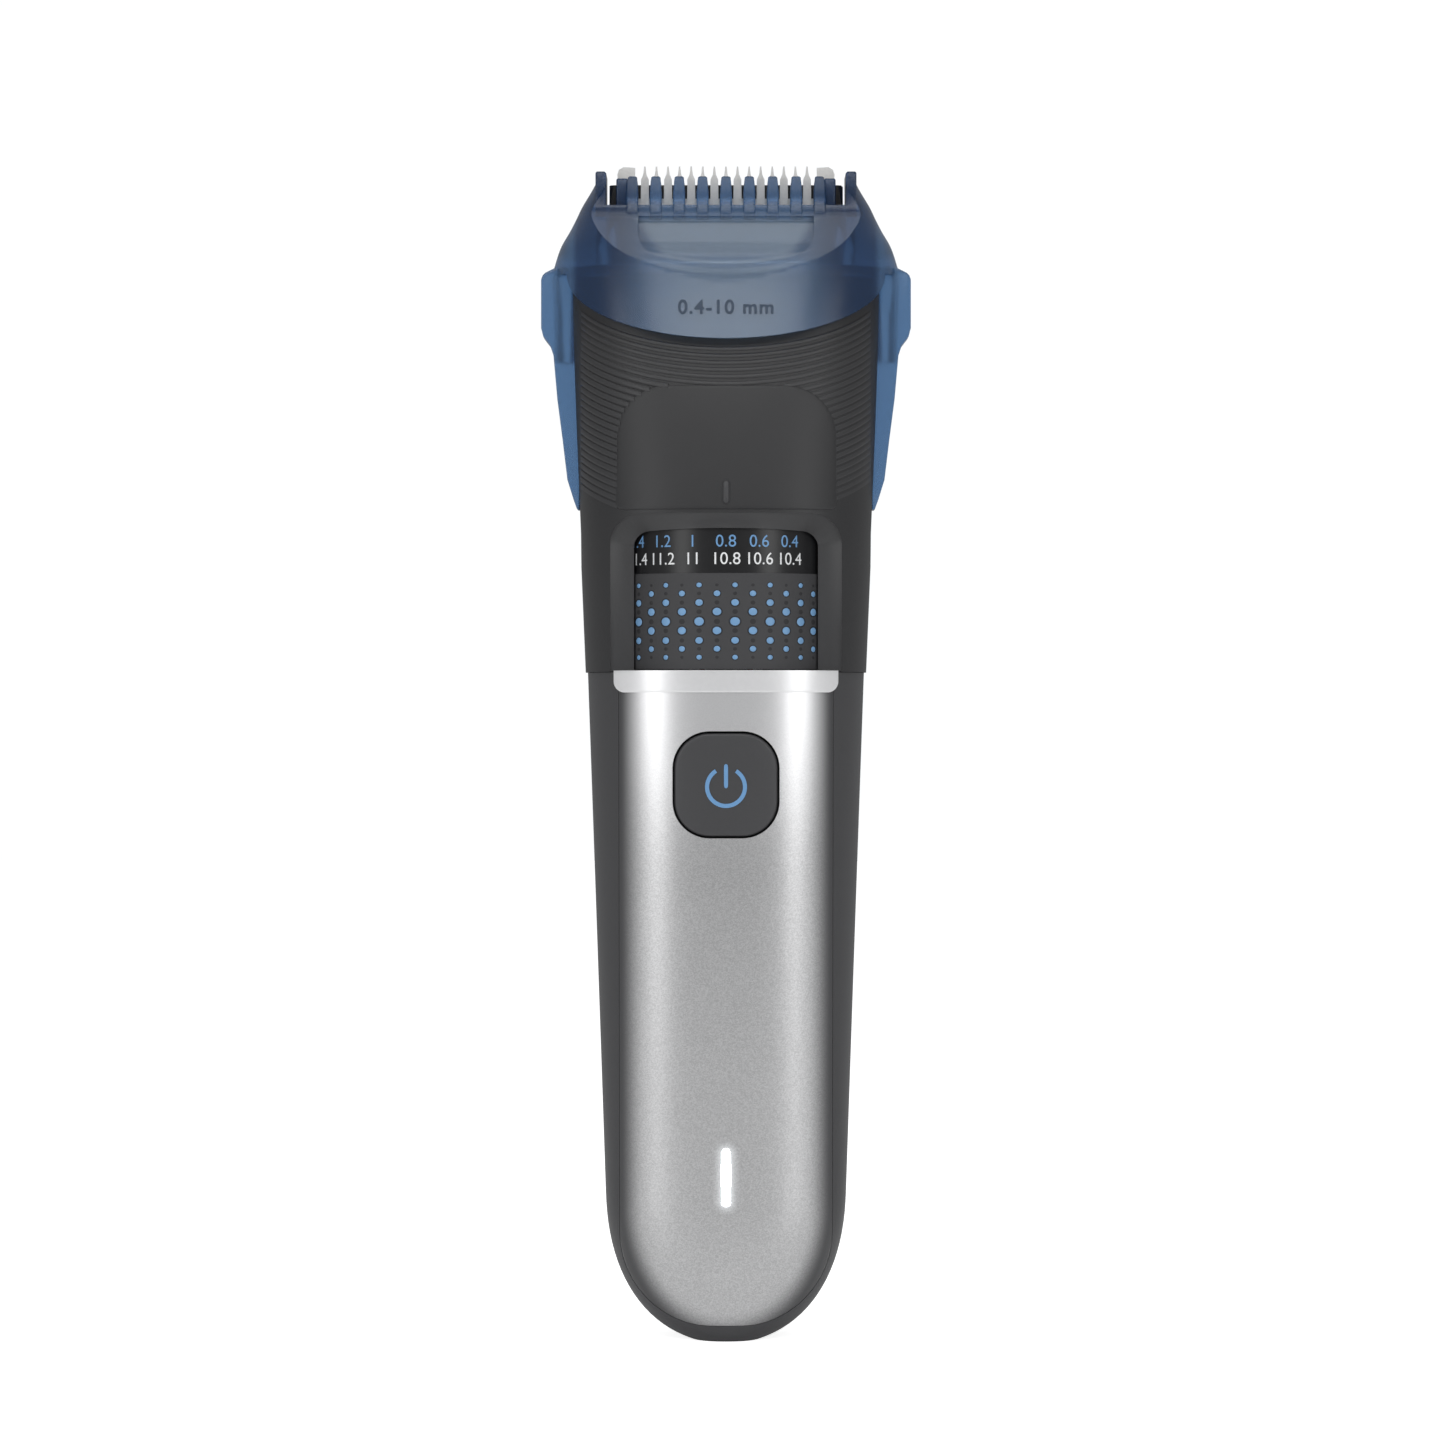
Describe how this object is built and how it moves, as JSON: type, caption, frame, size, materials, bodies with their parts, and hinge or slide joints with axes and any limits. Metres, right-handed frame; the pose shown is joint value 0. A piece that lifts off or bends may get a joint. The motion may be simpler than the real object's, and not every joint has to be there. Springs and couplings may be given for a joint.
{
  "type": "beard trimmer",
  "caption": "Cordless beard trimmer with a toothed reciprocating cutter, a length wheel with number ring that lifts a clip-on comb, a push button and a charging inlet.",
  "frame": {"origin": "centre of the flat lower end, on its own plane", "axes": "+Z along the handle towards the blades, -Y towards the front with the wheel and button, +X to the right seen from the front"},
  "size_m": [0.0536, 0.0364, 0.17],
  "materials": {
    "silver_panel": "fine metallic paint, satin",
    "grey_shell": "fine moulded grain",
    "black_housing": "satin moulded",
    "bright_trim": "satin bright",
    "wheel_rubber": "soft touch",
    "ring_gloss": "high gloss",
    "comb_blue": "translucent polished",
    "blade_steel": "ground",
    "button_plastic": "soft touch",
    "seal_rubber": "moulded",
    "light_white": "clear, lit from inside",
    "spring_steel": "rolled",
    "motor_steel": "plated can",
    "contact_brass": "plated",
    "board_green": "solder mask",
    "battery_wrap": "shrink wrap",
    "frame_plastic": "moulded",
    "lead_insulation": "smooth",
    "screw_steel": "zinc plated",
    "switch_black": "moulded"
  },
  "bodies": {
    "handle": {"front_panel": "silver_panel", "handle_housing": "grey_shell", "sill_trim": "bright_trim", "button_seal": "seal_rubber", "housing_seal": "seal_rubber", "light_pipe": "light_white", "charging_socket": "switch_black", "socket_pins": "contact_brass", "chassis": "frame_plastic", "circuit_board": "board_green", "chassis_screws": "screw_steel", "motor_leads": "lead_insulation", "tact_switch": "switch_black", "led": "light_white", "battery": "battery_wrap", "battery_tabs": "spring_steel", "head_housing": "black_housing", "head_seal": "seal_rubber", "upper_housing": "black_housing", "click_spring": "spring_steel", "motor": "motor_steel", "motor_mount": "frame_plastic", "fixed_blade": "blade_steel", "blade_spring": "spring_steel", "blade_screws": "screw_steel"},
    "wheel": {"zoom_wheel": "wheel_rubber", "number_ring": "ring_gloss"},
    "comb_carriage": {"carriage": "frame_plastic"},
    "comb": {"comb": "comb_blue"},
    "cutter": {"moving_blade": "blade_steel", "drive_lever": "frame_plastic"},
    "rotor": {"motor_shaft": "motor_steel", "eccentric": "switch_black"},
    "button": {"power_button": "button_plastic"}
  },
  "joints": [
    {"name": "wheel_turn", "type": "hinge", "parent": "handle", "child": "wheel", "pos_m": [0, -0.001, 0.107], "axis": [0, 0, 1], "range_deg": [-34, 289]},
    {"name": "carriage_slide", "type": "slide", "parent": "handle", "child": "comb_carriage", "axis": [0, 0, 1], "range_m": [-0.00102, 0.0086]},
    {"name": "comb_lift", "type": "slide", "parent": "comb_carriage", "child": "comb", "axis": [0, 0, 1], "range_m": [0, 0.06]},
    {"name": "cutter_slide", "type": "slide", "parent": "handle", "child": "cutter", "axis": [1, 0, 0], "range_m": [-0.0008, 0.0008]},
    {"name": "motor_spin", "type": "hinge", "parent": "handle", "child": "rotor", "pos_m": [0, -0.001, 0.12], "axis": [0, 0, 1], "continuous": true},
    {"name": "button_press", "type": "slide", "parent": "handle", "child": "button", "axis": [0, 1, 0], "range_m": [0, 0.0008], "stiffness_N_per_m": 1500, "springref_m": -0.0003}
  ],
  "couplings": [
    {"joint": "carriage_slide", "follows": "wheel_turn", "m_per_rad": 0.0017029}
  ]
}
